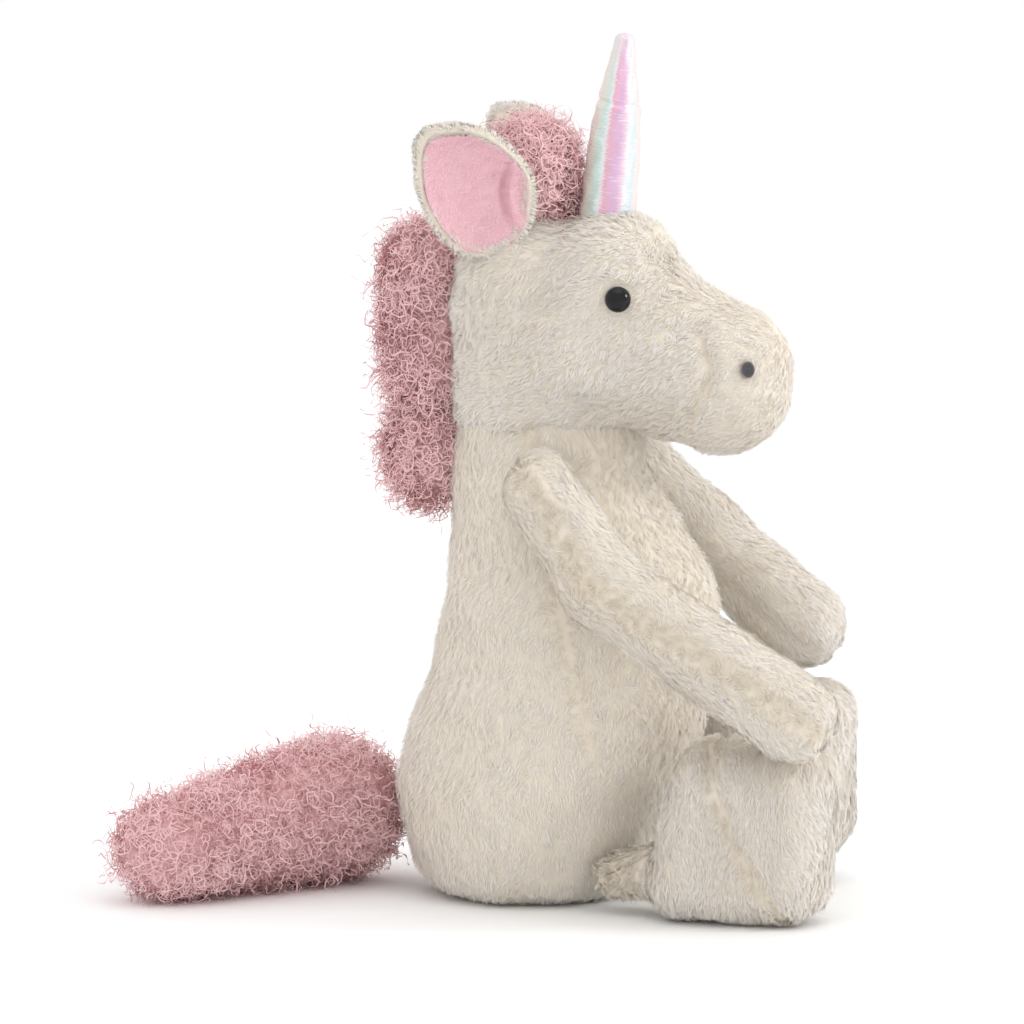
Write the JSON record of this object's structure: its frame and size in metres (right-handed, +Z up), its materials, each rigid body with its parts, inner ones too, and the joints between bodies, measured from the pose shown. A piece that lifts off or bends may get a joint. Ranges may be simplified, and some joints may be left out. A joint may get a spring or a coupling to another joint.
{
  "type": "plush unicorn",
  "caption": "Sitting plush unicorn with cream fur, curly pink mane and tail, an iridescent cone horn, floppy limbs and a bean-filled seat.",
  "frame": {"origin": "middle of the flat patch under the torso that the unicorn sits on", "axes": "+Z up, -Y where the unicorn faces, -X its own right side"},
  "size_m": [0.1567, 0.2593, 0.3016],
  "materials": {
    "cream_fur": "long soft pile, matt",
    "pink_curly_yarn": "curly looped yarn pile, matt",
    "pink_velour": "short velour pile, matt",
    "iridescent_cloth": "pearly foil cloth in lengthwise bands, satin",
    "eye_plastic": "moulded black, glossy",
    "washer_plastic": "moulded, matt",
    "grey_thread": "satin stitch thread",
    "polyester_fibre": "loose fibre filling",
    "bean_pouch_cloth": "plain woven lining over plastic beans"
  },
  "bodies": {
    "torso": {"torso_shell": "cream_fur", "torso_stuffing": "polyester_fibre", "seat_bean_pouch": "bean_pouch_cloth", "mane_lower": "pink_curly_yarn"},
    "head": {"head_shell": "cream_fur", "muzzle_shell": "cream_fur", "head_stuffing": "polyester_fibre", "horn_cover": "iridescent_cloth", "horn_stuffing": "polyester_fibre", "forelock": "pink_curly_yarn", "mane_upper": "pink_curly_yarn", "eye_right": "eye_plastic", "eye_left": "eye_plastic", "eye_washer_right": "washer_plastic", "eye_washer_left": "washer_plastic", "nostril_right": "grey_thread", "nostril_left": "grey_thread"},
    "ear_right": {"ear_back_right": "cream_fur", "ear_lining_right": "pink_velour"},
    "ear_left": {"ear_back_left": "cream_fur", "ear_lining_left": "pink_velour"},
    "arm_right": {"arm_shell_right": "cream_fur", "arm_stuffing_right": "polyester_fibre"},
    "arm_left": {"arm_shell_left": "cream_fur", "arm_stuffing_left": "polyester_fibre"},
    "leg_right": {"leg_shell_right": "cream_fur", "leg_stuffing_right": "polyester_fibre", "foot_bean_pouch_right": "bean_pouch_cloth"},
    "leg_left": {"leg_shell_left": "cream_fur", "leg_stuffing_left": "polyester_fibre", "foot_bean_pouch_left": "bean_pouch_cloth"},
    "tail": {"tail_cover": "pink_curly_yarn", "tail_stuffing": "polyester_fibre"}
  },
  "joints": [
    {"name": "neck_nod", "type": "hinge", "parent": "torso", "child": "head", "pos_m": [0, 0, 0.13], "axis": [1, 0, 0], "range_deg": [-5, 10], "stiffness_Nm_per_rad": 1.2},
    {"name": "ear_fold_right", "type": "hinge", "parent": "head", "child": "ear_right", "pos_m": [-0.02501, 0.018, 0.22752], "axis": [-0.375, 0.927, 0], "range_deg": [-16, 6], "stiffness_Nm_per_rad": 0.012},
    {"name": "ear_fold_left", "type": "hinge", "parent": "head", "child": "ear_left", "pos_m": [0.02501, 0.018, 0.22752], "axis": [0.375, 0.927, 0], "range_deg": [-6, 16], "stiffness_Nm_per_rad": 0.012},
    {"name": "shoulder_right", "type": "hinge", "parent": "torso", "child": "arm_right", "pos_m": [-0.03729, -0.009, 0.151], "axis": [-1, 0, 0], "range_deg": [0, 60]},
    {"name": "shoulder_left", "type": "hinge", "parent": "torso", "child": "arm_left", "pos_m": [0.03729, -0.009, 0.151], "axis": [-1, 0, 0], "range_deg": [0, 60]},
    {"name": "hip_right", "type": "hinge", "parent": "torso", "child": "leg_right", "pos_m": [-0.036, -0.03702, 0.014], "axis": [1, 0, 0], "range_deg": [0, 40]},
    {"name": "hip_left", "type": "hinge", "parent": "torso", "child": "leg_left", "pos_m": [0.036, -0.03702, 0.014], "axis": [1, 0, 0], "range_deg": [0, 40]},
    {"name": "tail_swing", "type": "hinge", "parent": "torso", "child": "tail", "pos_m": [0, 0.0801, 0.0253], "axis": [0, 0, 1], "range_deg": [-95, 15]}
  ]
}
